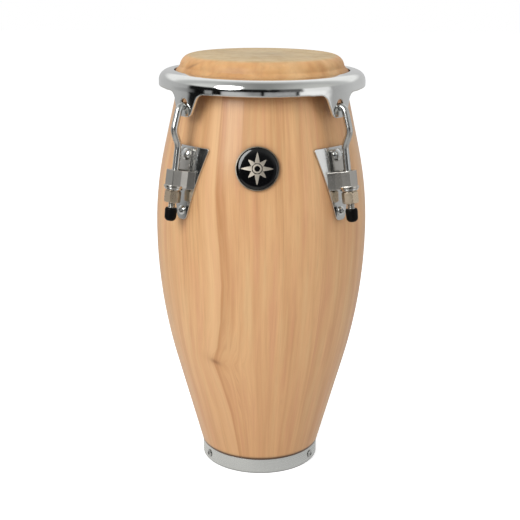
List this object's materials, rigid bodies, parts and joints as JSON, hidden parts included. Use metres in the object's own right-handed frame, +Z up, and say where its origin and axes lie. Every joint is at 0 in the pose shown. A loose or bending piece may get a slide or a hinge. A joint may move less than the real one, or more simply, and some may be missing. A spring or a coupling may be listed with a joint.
{
  "type": "tunable conga drum",
  "caption": "Small tapered wooden barrel drum with a rawhide head, chromed rim with ears, hooked tuning rods, shield-shaped lug plates and a metal foot band.",
  "frame": {"origin": "centre of the foot, on the plane the drum stands on", "axes": "+Z up along the drum, the badge faces -Y"},
  "size_m": [0.1404, 0.1404, 0.2794],
  "materials": {
    "shell_wood": "clear satin lacquer on pale open-grained hardwood",
    "foot_metal": "satin plated",
    "screw_steel": "plated",
    "badge_enamel": "gloss black",
    "badge_metal": "polished",
    "hoop_steel": "plain wire",
    "rawhide": "dry natural hide",
    "rim_chrome": "polished",
    "lug_chrome": "polished",
    "rod_chrome": "polished",
    "nut_steel": "plated, dulled",
    "cap_rubber": "matt"
  },
  "bodies": {
    "shell": {"shell_staves": "shell_wood", "foot_ring": "foot_metal", "foot_ring_screws": "screw_steel", "badge_disc": "badge_enamel", "badge_bezel": "badge_metal", "plate_bolts": "lug_chrome", "plate_bolt_washers": "screw_steel", "plate_bolt_nuts": "screw_steel", "plate_screws": "lug_chrome", "rod_washers": "lug_chrome", "side_plate_front_left": "lug_chrome", "side_plate_front_right": "lug_chrome", "side_plate_rear_left": "lug_chrome", "side_plate_rear_right": "lug_chrome", "lug_bracket_front_left": "lug_chrome", "lug_bracket_front_right": "lug_chrome", "lug_bracket_rear_left": "lug_chrome", "lug_bracket_rear_right": "lug_chrome"},
    "rim": {"rim": "rim_chrome", "flesh_hoop": "hoop_steel", "drumhead": "rawhide"},
    "rod_front_left": {"tuning_rod_front_left": "rod_chrome", "rod_cap_front_left": "cap_rubber"},
    "nut_front_left": {"tuning_nut_front_left": "nut_steel"},
    "rod_front_right": {"tuning_rod_front_right": "rod_chrome", "rod_cap_front_right": "cap_rubber"},
    "nut_front_right": {"tuning_nut_front_right": "nut_steel"},
    "rod_rear_left": {"tuning_rod_rear_left": "rod_chrome", "rod_cap_rear_left": "cap_rubber"},
    "nut_rear_left": {"tuning_nut_rear_left": "nut_steel"},
    "rod_rear_right": {"tuning_rod_rear_right": "rod_chrome", "rod_cap_rear_right": "cap_rubber"},
    "nut_rear_right": {"tuning_nut_rear_right": "nut_steel"}
  },
  "joints": [
    {"name": "rim_slide", "type": "slide", "parent": "shell", "child": "rim", "axis": [0, 0, -1], "range_m": [-0.001, 0.004], "deforming": ["drumhead"]},
    {"name": "rod_slide_front_left", "type": "slide", "parent": "shell", "child": "rod_front_left", "axis": [-0.12, -0.12, -0.9855], "range_m": [-0.00103, 0.0041]},
    {"name": "nut_turn_front_left", "type": "hinge", "parent": "shell", "child": "nut_front_left", "pos_m": [-0.05364, -0.05364, 0.20858], "axis": [-0.12, -0.12, -0.9855], "range_deg": [-460, 1830]},
    {"name": "rod_slide_front_right", "type": "slide", "parent": "shell", "child": "rod_front_right", "axis": [0.12, -0.12, -0.9855], "range_m": [-0.00103, 0.0041]},
    {"name": "nut_turn_front_right", "type": "hinge", "parent": "shell", "child": "nut_front_right", "pos_m": [0.05364, -0.05364, 0.20858], "axis": [0.12, -0.12, -0.9855], "range_deg": [-460, 1830]},
    {"name": "rod_slide_rear_left", "type": "slide", "parent": "shell", "child": "rod_rear_left", "axis": [-0.12, 0.12, -0.9855], "range_m": [-0.00103, 0.0041]},
    {"name": "nut_turn_rear_left", "type": "hinge", "parent": "shell", "child": "nut_rear_left", "pos_m": [-0.05364, 0.05364, 0.20858], "axis": [-0.12, 0.12, -0.9855], "range_deg": [-460, 1830]},
    {"name": "rod_slide_rear_right", "type": "slide", "parent": "shell", "child": "rod_rear_right", "axis": [0.12, 0.12, -0.9855], "range_m": [-0.00103, 0.0041]},
    {"name": "nut_turn_rear_right", "type": "hinge", "parent": "shell", "child": "nut_rear_right", "pos_m": [0.05364, 0.05364, 0.20858], "axis": [0.12, 0.12, -0.9855], "range_deg": [-460, 1830]}
  ],
  "couplings": [
    {"joint": "rod_slide_front_left", "follows": "rim_slide", "ratio": 1.0147},
    {"joint": "nut_turn_front_left", "follows": "rim_slide", "rad_per_m": 7969.7},
    {"joint": "rod_slide_front_right", "follows": "rim_slide", "ratio": 1.0147},
    {"joint": "nut_turn_front_right", "follows": "rim_slide", "rad_per_m": 7969.7},
    {"joint": "rod_slide_rear_left", "follows": "rim_slide", "ratio": 1.0147},
    {"joint": "nut_turn_rear_left", "follows": "rim_slide", "rad_per_m": 7969.7},
    {"joint": "rod_slide_rear_right", "follows": "rim_slide", "ratio": 1.0147},
    {"joint": "nut_turn_rear_right", "follows": "rim_slide", "rad_per_m": 7969.7}
  ]
}
